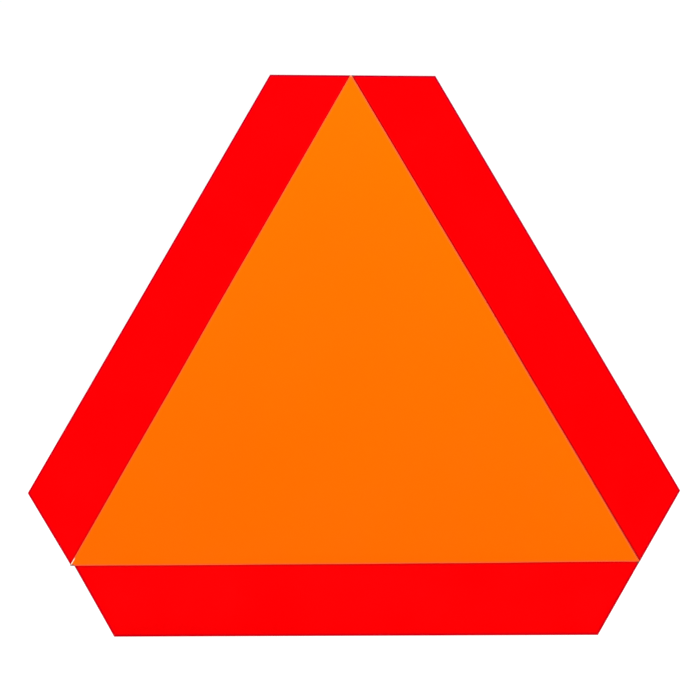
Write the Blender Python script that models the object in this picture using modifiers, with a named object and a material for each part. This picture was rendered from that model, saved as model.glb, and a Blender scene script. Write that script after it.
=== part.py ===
"""Slow-moving-vehicle warning triangle on a lift-off bracket.

A flat emblem (an orange triangle film and three red border films on an aluminium sheet) carries a
steel T bracket on four flush-head clinch studs. The bracket's tapered blade drops into a socket
that is bolted to the vehicle, so the whole emblem lifts off upwards.

Frame: origin at the centre of the socket's rear face, where it meets the vehicle. +Z is up, +Y
points into the vehicle, and the emblem faces -Y. Left is -X. Units are metres.
"""

import math

import bmesh
import bpy
from mathutils import Matrix, Vector

MM = 0.001

# ---------------------------------------------------------------- emblem outline
EMBLEM_HEIGHT = 355.6 * MM  # 14 in, blunt top edge to bottom edge
EMBLEM_WIDTH = 413.0 * MM  # over the two upper corners of the blunt lower ends
EMBLEM_BOTTOM = -92.0 * MM
BORDER_WIDTH = 45.5 * MM  # red strip, measured square to its edge
EDGE_INSET = 0.20 * MM  # films stop this far inside the sheet's edge
SEAM_GAP = 0.40 * MM  # open seam between the triangle and each border film
PLATE_CORNER_RADIUS = 1.0 * MM

# ---------------------------------------------------------------- thicknesses and air gaps
PLATE_THICKNESS = 1.6 * MM
FILM_THICKNESS = 0.4 * MM
BRACKET_THICKNESS = 3.0 * MM
SOCKET_PLATE_THICKNESS = 2.5 * MM
POCKET_SHEET = 2.0 * MM
LAY = 0.05 * MM  # air left between two flat faces that rest on each other
RUN = 0.30 * MM  # air between the blade and the socket walls

# ---------------------------------------------------------------- bracket
BLADE_HALF_LOW, BLADE_HALF_HIGH = 21.0 * MM, 25.0 * MM  # at the pocket's lower and upper edges
BLADE_TIP = -36.0 * MM
BLADE_TIP_RADIUS = 6.0 * MM
JOGGLE = 14.0 * MM  # step of the 45 degree joggle, along Y and along Z
JOGGLE_LOW = 49.0 * MM
BEND_RADIUS = 4.5 * MM  # to the sheet's middle
BEND_STEPS = 5
BAR_LOW, BAR_HIGH, BAR_HALF = 115.0 * MM, 147.0 * MM, 80.0 * MM
BAR_INNER_RADIUS = 10.0 * MM  # where the bar meets the blade
BAR_END_RADIUS = 8.0 * MM

# ---------------------------------------------------------------- stations along Y, forwards
Y_SOCKET_FRONT = -SOCKET_PLATE_THICKNESS
Y_POCKET_BACK = Y_SOCKET_FRONT - LAY
Y_FLANGE_FRONT = Y_POCKET_BACK - POCKET_SHEET
Y_BLADE_BACK = Y_SOCKET_FRONT - RUN - LAY
Y_BLADE_FRONT = Y_BLADE_BACK - BRACKET_THICKNESS
Y_POCKET_INNER = Y_BLADE_FRONT - RUN
Y_POCKET_FRONT = Y_POCKET_INNER - POCKET_SHEET
Y_PAD_BACK = Y_BLADE_BACK - JOGGLE
Y_PAD_FRONT = Y_PAD_BACK - BRACKET_THICKNESS
Y_PLATE_BACK = Y_PAD_FRONT - LAY
Y_PLATE_FRONT = Y_PLATE_BACK - PLATE_THICKNESS
Y_FILM_BACK = Y_PLATE_FRONT - LAY
Y_FILM_FRONT = Y_FILM_BACK - FILM_THICKNESS

# ---------------------------------------------------------------- studs, washers and lock nuts
STUD_PITCH = 62.0 * MM
STUD_ROW_Z = (BAR_LOW + BAR_HIGH) / 2
STUDS = {  # x, z
    "top_left": (-STUD_PITCH, STUD_ROW_Z),
    "top_centre": (0.0, STUD_ROW_Z),
    "top_right": (STUD_PITCH, STUD_ROW_Z),
    "lower": (0.0, 84.0 * MM),
}
STUD_RADIUS = 3.0 * MM
STUD_REACH = 12.0 * MM  # beyond the sheet's rear face
STUD_CHAMFER = 0.7 * MM
STUD_HEAD_RADIUS, STUD_HEAD_HEIGHT = 4.4 * MM, 0.95 * MM
STUD_HEAD_FRONT = Y_PLATE_FRONT + LAY
PLATE_HOLE_RADIUS = STUD_RADIUS + 0.25 * MM
PLATE_SINK_RADIUS = STUD_HEAD_RADIUS + 0.2 * MM
BRACKET_HOLE_RADIUS = 3.4 * MM

WASHER_RADIUS, WASHER_BORE_RADIUS, WASHER_HEIGHT = 6.25 * MM, 3.25 * MM, 1.2 * MM

NUT_FLATS, NUT_BORE_RADIUS = 10.0 * MM, 3.2 * MM
NUT_HEIGHT, NUT_HEX_HEIGHT = 6.0 * MM, 4.5 * MM
NUT_CORNER_RADIUS = NUT_FLATS / math.sqrt(3)
NUT_END_RADIUS = NUT_FLATS / 2 * 0.97  # of the flat round face at each end of the hexagon
NUT_ENVELOPE_RADIUS = NUT_CORNER_RADIUS + 0.2 * MM  # clears the corners
NUT_CHAMFER_HEIGHT = 0.6 * MM
NUT_COLLAR_RADIUS = 4.5 * MM
NUT_COLLAR_BEVEL_WIDTH, NUT_COLLAR_BEVEL_HEIGHT = 0.6 * MM, 0.4 * MM

# ---------------------------------------------------------------- socket
SOCKET_HALF_WIDTH = 54.0 * MM
SOCKET_HALF_HEIGHT, SOCKET_CORNER_RADIUS = 36.0 * MM, 7.0 * MM
POCKET_HALF_HEIGHT, POCKET_CORNER_RADIUS = 30.0 * MM, 6.0 * MM
CROWN_SET_IN = 0.5 * MM  # crown's rear face, forward of the flange's rear face
VEHICLE_HOLE_X, VEHICLE_HOLE_Z, VEHICLE_HOLE_RADIUS = 43.0 * MM, 18.0 * MM, 3.5 * MM
VEHICLE_HOLES = [(side * VEHICLE_HOLE_X, end * VEHICLE_HOLE_Z) for side in (-1, 1) for end in (-1, 1)]

RIVET_X, RIVET_Z = 35.0 * MM, 24.5 * MM
RIVETS = {  # x, z
    "upper_left": (-RIVET_X, RIVET_Z),
    "upper_right": (RIVET_X, RIVET_Z),
    "lower_left": (-RIVET_X, -RIVET_Z),
    "lower_right": (RIVET_X, -RIVET_Z),
}
RIVET_RADIUS, RIVET_HOLE_RADIUS = 2.0 * MM, 2.3 * MM
RIVET_HEAD_RADIUS, RIVET_HEAD_HEIGHT = 3.6 * MM, 1.9 * MM
RIVET_DOME_ANGLES = (72, 50, 25, 0)  # degrees up the dome, from its top to its rim
RIVET_HEAD_BACK = Y_FLANGE_FRONT - LAY
RIVET_END = -0.1 * MM  # just inside the vehicle face
RIVET_SINK_RADIUS = 3.6 * MM
RIVET_SINK_DEPTH = RIVET_SINK_RADIUS - RIVET_RADIUS
RIVET_TAIL_RADIUS = RIVET_SINK_RADIUS - 0.25 * MM
RIVET_TAIL_RIM = 0.05 * MM  # height of the straight edge round the tail
RIVET_SINK_GAP = 0.1 * MM  # added to the small end of the countersink, in radius
RIVET_SINK_EXTRA = 0.2 * MM  # added to the countersink's depth

# ---------------------------------------------------------------- cutting and meshing
SINK_OVERRUN = 1.0 * MM  # counterbores and countersinks start this far outside the face
HOLE_OVERRUN = 2.0 * MM  # cutters for holes and the channel pass the faces by this much
END_OVERRUN = 5.0 * MM  # strip and channel run past the shapes they are cut to, or cut
T_CUT_FRONT, T_CUT_BACK = -40.0 * MM, 20.0 * MM

ROUND_SEGMENTS = 28
RIVET_SEGMENTS = 24
CORNER_STEPS = 4
WELD_DISTANCE = 1e-7
TURN_MERGE_DISTANCE = 1e-6
EMPTY_SIZE = 0.03
SHARP_ANGLE, NUT_SHARP_ANGLE = math.radians(35.0), math.radians(20.0)

FACE_FRONT = Matrix.Rotation(math.pi / 2, 4, "X")  # local Y to world Z, local Z to world -Y
AXIS_BACK = Matrix.Rotation(-math.pi / 2, 4, "X")  # local Z to world +Y
# local X to world Y, local Y to world Z, local Z to world X
SIDE_VIEW = Matrix(((0, 0, 1, 0), (1, 0, 0, 0), (0, 1, 0, 0), (0, 0, 0, 1)))


# ================================================================ scene and materials
for old in list(bpy.data.objects):
    bpy.data.objects.remove(old, do_unlink=True)

part_collection = bpy.data.collections.new("slow_vehicle_emblem")
bpy.context.scene.collection.children.link(part_collection)


def make_material(name, colour, roughness, metallic):
    material = bpy.data.materials.new(name)
    material.use_nodes = True
    shader = material.node_tree.nodes["Principled BSDF"]
    shader.inputs["Base Color"].default_value = (*colour, 1.0)
    shader.inputs["Roughness"].default_value = roughness
    shader.inputs["Metallic"].default_value = metallic
    material.diffuse_color = (*colour, 1.0)
    return material


ORANGE = make_material(
    "fluorescent_orange_film", colour=(1.0, 0.17, 0.0), roughness=0.35, metallic=0.0
)
RED = make_material(
    "red_retroreflective_film", colour=(0.95, 0.0, 0.004), roughness=0.30, metallic=0.0
)
ALUMINIUM = make_material(
    "mill_aluminium", colour=(0.80, 0.81, 0.82), roughness=0.38, metallic=1.0
)
BLACK_STEEL = make_material(
    "black_powder_coat", colour=(0.025, 0.025, 0.027), roughness=0.55, metallic=0.0
)
ZINC = make_material(
    "zinc_plated_steel", colour=(0.66, 0.67, 0.69), roughness=0.32, metallic=1.0
)


# ================================================================ flat outlines
def corner_arc(before, corner, after, radius, steps):
    """The points of an arc that rounds off a corner between its two neighbours."""
    corner = Vector(corner)
    back = (Vector(before) - corner).normalized()
    ahead = (Vector(after) - corner).normalized()
    half_angle = back.angle(ahead) / 2
    reach = radius / math.tan(half_angle)
    centre = corner + (back + ahead).normalized() * (radius / math.sin(half_angle))
    start = corner + back * reach - centre
    end = corner + ahead * reach - centre
    start_angle = math.atan2(start.y, start.x)
    # Turned the short way round, between -pi and pi.
    turn = (math.atan2(end.y, end.x) - start_angle + math.pi) % (2 * math.pi) - math.pi
    angles = [start_angle + turn * k / steps for k in range(steps + 1)]
    return [(centre.x + radius * math.cos(a), centre.y + radius * math.sin(a)) for a in angles]


def rounded(corners, radii):
    """A closed outline with each corner turned into an arc, or left sharp where its radius is 0."""
    count = len(corners)
    points = []
    for i, (corner, radius) in enumerate(zip(corners, radii)):
        if radius > 0:
            after = corners[(i + 1) % count]
            points += corner_arc(corners[i - 1], corner, after, radius, CORNER_STEPS)
        else:
            points.append(corner)
    return points


def inset(corners, distances):
    """A convex counter-clockwise outline with its edges moved inwards.

    Edge i, from corner i to corner i + 1, moves by distances[i].
    """
    count = len(corners)
    lines = []
    for i, distance in enumerate(distances):
        start, end = Vector(corners[i]), Vector(corners[(i + 1) % count])
        along = (end - start).normalized()
        normal = Vector((-along.y, along.x))
        lines.append((normal, normal.dot(start) + distance))
    points = []
    for i in range(count):
        (normal1, offset1), (normal2, offset2) = lines[i - 1], lines[i]
        cross = normal1.x * normal2.y - normal1.y * normal2.x
        x = (offset1 * normal2.y - offset2 * normal1.y) / cross
        y = (normal1.x * offset2 - normal2.x * offset1) / cross
        points.append((x, y))
    return points


def phase_at(x, z):
    """A starting angle for the ring of points round a hole, different for each hole.

    Two holes at one height would otherwise have points in line with each other, and a flat face
    between them would then hold triangles with no height.
    """
    return (x / MM * 0.61803 + z / MM * 0.38197) % 1.0 * 0.2 + 0.011


def circle(x, z, radius):
    phase = phase_at(x, z)
    angles = [phase + 2 * math.pi * k / ROUND_SEGMENTS for k in range(ROUND_SEGMENTS)]
    return [(x + radius * math.cos(a), z + radius * math.sin(a)) for a in angles]


def circles(places, radius):
    return [circle(x, z, radius) for x, z in places]


def rounded_box(half_width, half_height, radius):
    corners = [
        (-half_width, -half_height),
        (half_width, -half_height),
        (half_width, half_height),
        (-half_width, half_height),
    ]
    return rounded(corners, [radius] * 4)


def blade_half(z):
    """Half the blade's width at z, on its taper."""
    share = (z + POCKET_HALF_HEIGHT) / (2 * POCKET_HALF_HEIGHT)
    return BLADE_HALF_LOW + (BLADE_HALF_HIGH - BLADE_HALF_LOW) * share


def taper(gap, overrun):
    """The blade's taper over the pocket's height, widened by gap and carried on by overrun."""
    low, high = -POCKET_HALF_HEIGHT - overrun, POCKET_HALF_HEIGHT + overrun
    half_low, half_high = blade_half(low) + gap, blade_half(high) + gap
    return [(-half_low, low), (half_low, low), (half_high, high), (-half_high, high)]


def strip_profile(line, radius, thickness):
    """The closed side view of a bent strip, from the corners (y, z) of its middle line."""
    path = [Vector(line[0])]
    for before, corner, after in zip(line, line[1:], line[2:]):
        path += [Vector(p) for p in corner_arc(before, corner, after, radius, BEND_STEPS)]
    path.append(Vector(line[-1]))
    left_side, right_side = [], []
    for i, point in enumerate(path):
        before = (point - path[i - 1] if i else path[1] - point).normalized()
        after = (path[i + 1] - point).normalized() if i < len(path) - 1 else before
        along = (before + after).normalized()
        # Widened at a bend, so that the strip keeps its thickness there.
        offset = Vector((-along.y, along.x)) * (thickness / 2 / along.dot(before))
        left_side.append(tuple(point + offset))
        right_side.append(tuple(point - offset))
    return left_side + right_side[::-1]


# ================================================================ objects
def add_object(name, data):
    obj = bpy.data.objects.new(name, data)
    part_collection.objects.link(obj)
    return obj


def outline_curve(name, outlines, thickness):
    """A filled 2D curve, extruded to thickness. Outlines inside the first are holes."""
    curve = bpy.data.curves.new(name, "CURVE")
    curve.dimensions = "2D"
    curve.fill_mode = "BOTH"
    curve.extrude = thickness / 2
    for points in outlines:
        spline = curve.splines.new("POLY")
        spline.points.add(len(points) - 1)
        for point, (x, y) in zip(spline.points, points):
            point.co = (x, y, 0.0, 1.0)
        spline.use_cyclic_u = True
    return add_object(name, curve)


def upright_curve(name, outlines, y_front, y_back):
    """An outline curve that stands in the XZ plane, between two stations along Y."""
    obj = outline_curve(name, outlines, y_back - y_front)
    obj.matrix_world = Matrix.Translation((0, (y_front + y_back) / 2, 0)) @ FACE_FRONT
    return obj


def baked_mesh(obj):
    """The object's evaluated shape as a plain mesh, with a curve's loose caps welded on."""
    bpy.context.view_layer.update()
    graph = bpy.context.evaluated_depsgraph_get()
    mesh = bpy.data.meshes.new_from_object(obj.evaluated_get(graph))
    work = bmesh.new()
    work.from_mesh(mesh)
    bmesh.ops.remove_doubles(work, verts=work.verts, dist=WELD_DISTANCE)
    bmesh.ops.recalc_face_normals(work, faces=work.faces)
    work.to_mesh(mesh)
    work.free()
    return mesh


def as_mesh_object(obj):
    """Replaces a curve object by a mesh object in the same place and under the same name."""
    name, mesh, matrix = obj.name, baked_mesh(obj), obj.matrix_world.copy()
    bpy.data.objects.remove(obj, do_unlink=True)
    mesh.name = name
    made = add_object(name, mesh)
    made.matrix_world = matrix
    return made


def upright_sheet(name, outlines, y_front, y_back):
    return as_mesh_object(upright_curve(name, outlines, y_front, y_back))


def combine(obj, others, operation):
    """Boolean of obj with each helper in turn, made permanent, and the helpers removed."""
    for other in others:
        modifier = obj.modifiers.new(operation.lower(), "BOOLEAN")
        modifier.operation = operation
        modifier.solver = "EXACT"
        modifier.object = other
        mesh = baked_mesh(obj)
        obj.modifiers.clear()
        obj.data = mesh
        bpy.data.objects.remove(other, do_unlink=True)


def cone_mesh(name, segments, radius1, radius2, depth, turn=Matrix.Identity(4), tidy=False):
    """A capped cone or prism about Z, centred on the origin, then turned."""
    work = bmesh.new()
    bmesh.ops.create_cone(
        work, cap_ends=True, segments=segments, radius1=radius1, radius2=radius2, depth=depth
    )
    work.transform(turn)
    if tidy:
        bmesh.ops.recalc_face_normals(work, faces=work.faces)
    mesh = bpy.data.meshes.new(name)
    work.to_mesh(mesh)
    work.free()
    return mesh


def cutters_y(places, front_radius, back_radius, y_front, y_back):
    """A cylinder or cone along Y at each (x, z)."""
    made = []
    for x, z in places:
        turn = AXIS_BACK @ Matrix.Rotation(phase_at(x, z), 4, "Z")
        depth = y_back - y_front
        mesh = cone_mesh("cutter", ROUND_SEGMENTS, front_radius, back_radius, depth, turn, tidy=True)
        cutter = add_object("cutter", mesh)
        cutter.location = (x, (y_front + y_back) / 2, z)
        made.append(cutter)
    return made


def turned(name, profile, segments=ROUND_SEGMENTS):
    """A solid turned about Z from a profile of (radius, z), closed or ending on the axis."""
    mesh = bpy.data.meshes.new(name)
    edges = [(i, i + 1) for i in range(len(profile) - 1)]
    if profile[0][0] > 0 and profile[-1][0] > 0:
        edges.append((len(profile) - 1, 0))
    mesh.from_pydata([(radius, 0.0, z) for radius, z in profile], edges, [])
    obj = add_object(name, mesh)
    screw = obj.modifiers.new("turn", "SCREW")
    screw.angle = 2 * math.pi
    screw.steps = screw.render_steps = segments
    screw.use_merge_vertices = True
    screw.merge_threshold = TURN_MERGE_DISTANCE
    screw.use_normal_calculate = True
    mesh = baked_mesh(obj)
    obj.modifiers.clear()
    obj.data = mesh
    return obj


def finish(obj, material, body):
    """Sets material and parent. The bodies stand at the origin, so the piece keeps its place."""
    obj.data.materials.clear()
    obj.data.materials.append(material)
    obj.parent = body


def place_copies(shape, prefix, places, y, body, sharp_angle=SHARP_ANGLE):
    """Puts a zinc copy of a turned shape at each place, its axis along +Y, and removes the shape."""
    shape.data.shade_smooth()
    shape.data.set_sharp_from_angle(angle=sharp_angle)
    for label, (x, z) in places.items():
        piece = add_object(f"{prefix}_{label}", shape.data)
        piece.matrix_world = Matrix.Translation((x, y, z)) @ AXIS_BACK
        finish(piece, ZINC, body)
    bpy.data.objects.remove(shape, do_unlink=True)


# ================================================================ emblem corners, as (x, z)
# The border's slant and the side's angle depend on each other, so they are settled by repetition.
side_angle = math.radians(60.0)
for _ in range(20):
    half_base = (EMBLEM_WIDTH - BORDER_WIDTH / math.sin(side_angle)) / 2
    side_angle = math.atan2(EMBLEM_HEIGHT - BORDER_WIDTH, half_base)

base_z = EMBLEM_BOTTOM + BORDER_WIDTH
top_z = EMBLEM_BOTTOM + EMBLEM_HEIGHT
blunt_half = BORDER_WIDTH / math.sin(side_angle)  # half of the blunt top edge


def mirrored(point):
    return (-point[0], point[1])


# Each blunt end runs through a corner of the inner triangle, parallel to the side opposite it.
APEX = (0.0, top_z)
INNER_RIGHT = (half_base, base_z)
TOP_RIGHT = (blunt_half, top_z)
RIGHT_UPPER = (half_base + blunt_half / 2, base_z + BORDER_WIDTH / (2 * math.cos(side_angle)))
RIGHT_LOWER = (half_base - BORDER_WIDTH / math.tan(side_angle), EMBLEM_BOTTOM)
INNER_LEFT, TOP_LEFT = mirrored(INNER_RIGHT), mirrored(TOP_RIGHT)
LEFT_UPPER, LEFT_LOWER = mirrored(RIGHT_UPPER), mirrored(RIGHT_LOWER)


# ================================================================ emblem
def build_backing_plate(body):
    """The sheet, drilled and sunk for the flush stud heads."""
    corners = [LEFT_LOWER, RIGHT_LOWER, RIGHT_UPPER, TOP_RIGHT, TOP_LEFT, LEFT_UPPER]
    outline = rounded(corners, [PLATE_CORNER_RADIUS] * len(corners))
    holes = circles(STUDS.values(), PLATE_HOLE_RADIUS)
    plate = upright_sheet("backing_plate", [outline] + holes, Y_PLATE_FRONT, Y_PLATE_BACK)
    sinks = cutters_y(
        STUDS.values(),
        front_radius=PLATE_SINK_RADIUS,
        back_radius=PLATE_SINK_RADIUS,
        y_front=Y_PLATE_FRONT - SINK_OVERRUN,
        y_back=STUD_HEAD_FRONT + STUD_HEAD_HEIGHT + LAY,
    )
    combine(plate, sinks, "DIFFERENCE")
    finish(plate, ALUMINIUM, body)


def build_films(body):
    """The four films. Each edge stops short of the sheet's edge, or leaves half a seam."""
    edge, seam = EDGE_INSET, SEAM_GAP / 2
    films = [  # name, corners, inset of the edge after each corner, material
        (
            "fluorescent_triangle_film",
            [INNER_LEFT, INNER_RIGHT, APEX],
            [seam, seam, seam],
            ORANGE,
        ),
        (
            "red_border_film_bottom",
            [LEFT_LOWER, RIGHT_LOWER, INNER_RIGHT, INNER_LEFT],
            [edge, edge, seam, edge],
            RED,
        ),
        (
            "red_border_film_right",
            [INNER_RIGHT, RIGHT_UPPER, TOP_RIGHT, APEX],
            [edge, edge, edge, seam],
            RED,
        ),
        (
            "red_border_film_left",
            [INNER_LEFT, APEX, TOP_LEFT, LEFT_UPPER],
            [seam, edge, edge, edge],
            RED,
        ),
    ]
    for name, corners, distances, material in films:
        film = upright_curve(name, [inset(corners, distances)], Y_FILM_FRONT, Y_FILM_BACK)
        finish(film, material, body)


def build_mounting_spade(body):
    """The T bracket: a joggled strip cut to its front outline."""
    blade_y = (Y_BLADE_BACK + Y_BLADE_FRONT) / 2
    pad_y = (Y_PAD_BACK + Y_PAD_FRONT) / 2
    middle_line = [  # y, z
        (blade_y, BLADE_TIP - END_OVERRUN),
        (blade_y, JOGGLE_LOW),
        (pad_y, JOGGLE_LOW + JOGGLE),
        (pad_y, BAR_HIGH + END_OVERRUN),
    ]
    side_view = strip_profile(middle_line, BEND_RADIUS, BRACKET_THICKNESS)
    spade = outline_curve("mounting_spade", [side_view], 2 * (BAR_HALF + END_OVERRUN))
    spade.matrix_world = SIDE_VIEW
    spade = as_mesh_object(spade)

    right_half = [  # x, z, corner radius, from the blade's tip upwards
        (blade_half(BLADE_TIP), BLADE_TIP, BLADE_TIP_RADIUS),
        (BLADE_HALF_HIGH, POCKET_HALF_HEIGHT, 0.0),
        (BLADE_HALF_HIGH, BAR_LOW, BAR_INNER_RADIUS),
        (BAR_HALF, BAR_LOW, BAR_END_RADIUS),
        (BAR_HALF, BAR_HIGH, BAR_END_RADIUS),
    ]
    both = right_half + [(-x, z, radius) for x, z, radius in reversed(right_half)]
    outline = rounded([(x, z) for x, z, _ in both], [radius for _, _, radius in both])
    holes = circles(STUDS.values(), BRACKET_HOLE_RADIUS)
    t_shape = upright_sheet("t_shape", [outline] + holes, T_CUT_FRONT, T_CUT_BACK)
    combine(spade, [t_shape], "INTERSECT")
    finish(spade, BLACK_STEEL, body)


def build_studs(body):
    length = Y_PLATE_BACK + STUD_REACH - STUD_HEAD_FRONT
    profile = [
        (0.0, 0.0),
        (STUD_HEAD_RADIUS, 0.0),
        (STUD_HEAD_RADIUS, STUD_HEAD_HEIGHT),
        (STUD_RADIUS, STUD_HEAD_HEIGHT),
        (STUD_RADIUS, length - STUD_CHAMFER),
        (STUD_RADIUS - STUD_CHAMFER, length),
        (0.0, length),
    ]
    place_copies(turned("stud_shape", profile), "clinch_stud", STUDS, STUD_HEAD_FRONT, body)


def build_washers(body):
    profile = [
        (WASHER_BORE_RADIUS, 0.0),
        (WASHER_RADIUS, 0.0),
        (WASHER_RADIUS, WASHER_HEIGHT),
        (WASHER_BORE_RADIUS, WASHER_HEIGHT),
    ]
    place_copies(turned("washer_shape", profile), "flat_washer", STUDS, Y_PAD_BACK + LAY, body)


def build_lock_nuts(body):
    """Chamfered hexagons with a round collar: a turned envelope cut to a hexagonal prism."""
    envelope = [
        (NUT_BORE_RADIUS, 0.0),
        (NUT_END_RADIUS, 0.0),
        (NUT_ENVELOPE_RADIUS, NUT_CHAMFER_HEIGHT),
        (NUT_ENVELOPE_RADIUS, NUT_HEX_HEIGHT - NUT_CHAMFER_HEIGHT),
        (NUT_END_RADIUS, NUT_HEX_HEIGHT),
        (NUT_COLLAR_RADIUS, NUT_HEX_HEIGHT),
        (NUT_COLLAR_RADIUS, NUT_HEIGHT - NUT_COLLAR_BEVEL_HEIGHT),
        (NUT_COLLAR_RADIUS - NUT_COLLAR_BEVEL_WIDTH, NUT_HEIGHT),
        (NUT_BORE_RADIUS, NUT_HEIGHT),
    ]
    nut = turned("nut_shape", envelope)
    prism = cone_mesh("hexagon", 6, NUT_CORNER_RADIUS, NUT_CORNER_RADIUS, depth=4 * NUT_HEIGHT)
    combine(nut, [add_object("hexagon", prism)], "INTERSECT")
    y = Y_PAD_BACK + WASHER_HEIGHT + 2 * LAY
    place_copies(nut, "lock_nut", STUDS, y, body, sharp_angle=NUT_SHARP_ANGLE)


# ================================================================ socket
def build_socket_back_plate(body):
    """The plate against the vehicle, with its rivet holes countersunk from the rear."""
    outline = rounded_box(SOCKET_HALF_WIDTH, SOCKET_HALF_HEIGHT, SOCKET_CORNER_RADIUS)
    holes = circles(VEHICLE_HOLES, VEHICLE_HOLE_RADIUS)
    holes += circles(RIVETS.values(), RIVET_HOLE_RADIUS)
    plate = upright_sheet("socket_back_plate", [outline] + holes, Y_SOCKET_FRONT, 0.0)
    small_radius = RIVET_RADIUS + RIVET_SINK_GAP
    sink_front = -RIVET_SINK_DEPTH - RIVET_SINK_EXTRA
    sinks = cutters_y(
        RIVETS.values(),
        front_radius=small_radius,
        back_radius=small_radius + SINK_OVERRUN - sink_front,  # 90 degree cone
        y_front=sink_front,
        y_back=SINK_OVERRUN,
    )
    combine(plate, sinks, "DIFFERENCE")
    finish(plate, BLACK_STEEL, body)


def build_socket_pocket(body):
    """A flange with a raised tapered crown, hollowed by the channel that takes the blade."""
    outline = rounded_box(SOCKET_HALF_WIDTH, POCKET_HALF_HEIGHT, POCKET_CORNER_RADIUS)
    pocket = upright_sheet("socket_pocket", [outline], Y_FLANGE_FRONT, Y_POCKET_BACK)
    crown_outline = taper(gap=RUN + POCKET_SHEET, overrun=0.0)
    crown = upright_sheet("crown", [crown_outline], Y_POCKET_FRONT, Y_POCKET_BACK - CROWN_SET_IN)
    combine(pocket, [crown], "UNION")

    channel_outline = taper(gap=RUN, overrun=END_OVERRUN)
    cutters = [upright_sheet("channel", [channel_outline], Y_POCKET_INNER, HOLE_OVERRUN)]
    for places, radius in (
        (VEHICLE_HOLES, VEHICLE_HOLE_RADIUS),
        (RIVETS.values(), RIVET_HOLE_RADIUS),
    ):
        cutters += cutters_y(places, radius, radius, Y_FLANGE_FRONT - HOLE_OVERRUN, HOLE_OVERRUN)
    combine(pocket, cutters, "DIFFERENCE")
    finish(pocket, BLACK_STEEL, body)


def build_rivets(body):
    """Each runs from its domed head on the flange back to its countersunk end."""
    length = RIVET_END - RIVET_HEAD_BACK
    profile = [(0.0, -RIVET_HEAD_HEIGHT)]
    for angle in map(math.radians, RIVET_DOME_ANGLES):
        profile.append((RIVET_HEAD_RADIUS * math.cos(angle), -RIVET_HEAD_HEIGHT * math.sin(angle)))
    profile += [
        (RIVET_RADIUS, 0.0),
        (RIVET_RADIUS, length - RIVET_SINK_DEPTH),
        (RIVET_TAIL_RADIUS, length - RIVET_TAIL_RIM),
        (RIVET_TAIL_RADIUS, length),
        (0.0, length),
    ]
    shape = turned("rivet_shape", profile, RIVET_SEGMENTS)
    place_copies(shape, "socket_rivet", RIVETS, RIVET_HEAD_BACK, body)


# ================================================================ assembly
def make_body(name, parent=None):
    """An empty at the origin that carries the pieces which move together."""
    body = add_object(name, None)
    body.empty_display_size = EMPTY_SIZE
    body.parent = parent
    return body


socket_body = make_body("body_socket")
emblem_body = make_body("body_emblem", parent=socket_body)  # slides up along Z

for build in (
    build_backing_plate,
    build_films,
    build_mounting_spade,
    build_studs,
    build_washers,
    build_lock_nuts,
):
    build(emblem_body)

for build in (build_socket_back_plate, build_socket_pocket, build_rivets):
    build(socket_body)
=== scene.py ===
"""Looks for the slow-moving-vehicle warning triangle: films, sheared aluminium sheet, coated bracket and socket, zinc fasteners.

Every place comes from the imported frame. Sizes below that are not in the frame are finishing details: bevels, threads, seams.
"""

import math
import random

import bmesh
import bpy
import numpy as np
from mathutils import Matrix, Vector
from mathutils.geometry import delaunay_2d_cdt


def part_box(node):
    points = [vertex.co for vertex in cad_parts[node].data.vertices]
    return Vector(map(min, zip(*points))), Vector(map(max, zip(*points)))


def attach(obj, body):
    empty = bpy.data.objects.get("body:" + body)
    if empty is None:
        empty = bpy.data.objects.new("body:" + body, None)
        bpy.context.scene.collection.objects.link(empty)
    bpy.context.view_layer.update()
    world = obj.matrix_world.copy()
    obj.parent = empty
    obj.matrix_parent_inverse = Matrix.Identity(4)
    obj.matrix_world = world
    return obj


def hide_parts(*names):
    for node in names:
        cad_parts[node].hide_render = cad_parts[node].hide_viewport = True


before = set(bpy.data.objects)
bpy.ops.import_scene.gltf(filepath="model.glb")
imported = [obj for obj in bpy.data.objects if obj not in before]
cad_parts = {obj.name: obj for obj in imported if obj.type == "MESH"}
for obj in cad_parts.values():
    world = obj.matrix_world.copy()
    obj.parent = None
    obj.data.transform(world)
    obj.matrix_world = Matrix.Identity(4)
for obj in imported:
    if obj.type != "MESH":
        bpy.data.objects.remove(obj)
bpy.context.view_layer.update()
MM = 0.001

# ================================================================ stations, read from the frame (metres)
plate_low, plate_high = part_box("backing_plate")
film_low, film_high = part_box("fluorescent_triangle_film")
spade_low, spade_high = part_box("mounting_spade")
socket_low, socket_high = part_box("socket_back_plate")
pocket_low, pocket_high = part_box("socket_pocket")
BASE = plate_low.z  # the emblem's bottom edge
TOTAL = plate_high.z - plate_low.z
WIDTH = 413.0 * MM  # drawing width; the frame's own box is rounded off by the sheet's corner radius
strip_low, strip_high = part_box("red_border_film_bottom")
BORDER = strip_high.z - BASE + 0.2 * MM  # to the middle of the frame's 0.4 mm seam
Y_FILM_FRONT, Y_FILM_BACK = film_low.y, film_high.y
Y_PLATE_FRONT, Y_PLATE_BACK = plate_low.y, plate_high.y
Y_PAD_FRONT = spade_low.y
SHEET = 3.0 * MM  # bracket
Y_PAD_BACK = Y_PAD_FRONT + SHEET
Y_BLADE_BACK = spade_high.y
Y_SOCKET_FRONT, Y_SOCKET_BACK = socket_low.y, socket_high.y
Y_CROWN_FRONT, Y_FLANGE_BACK = pocket_low.y, pocket_high.y
POCKET_SHEET = 2.0 * MM
assert abs(WIDTH - (plate_high.x - plate_low.x)) < 0.6 * MM


def up(height):
    """A height above the emblem's bottom edge, in mm, as Z in the frame."""
    return BASE + height * MM


def centre_of(node):
    lo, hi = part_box(node)
    return (lo + hi) / 2


# ================================================================ node helpers
def new_material(name):
    material = bpy.data.materials.new(name)
    material.use_nodes = True
    tree = material.node_tree
    return material, tree, tree.nodes["Principled BSDF"]


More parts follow.
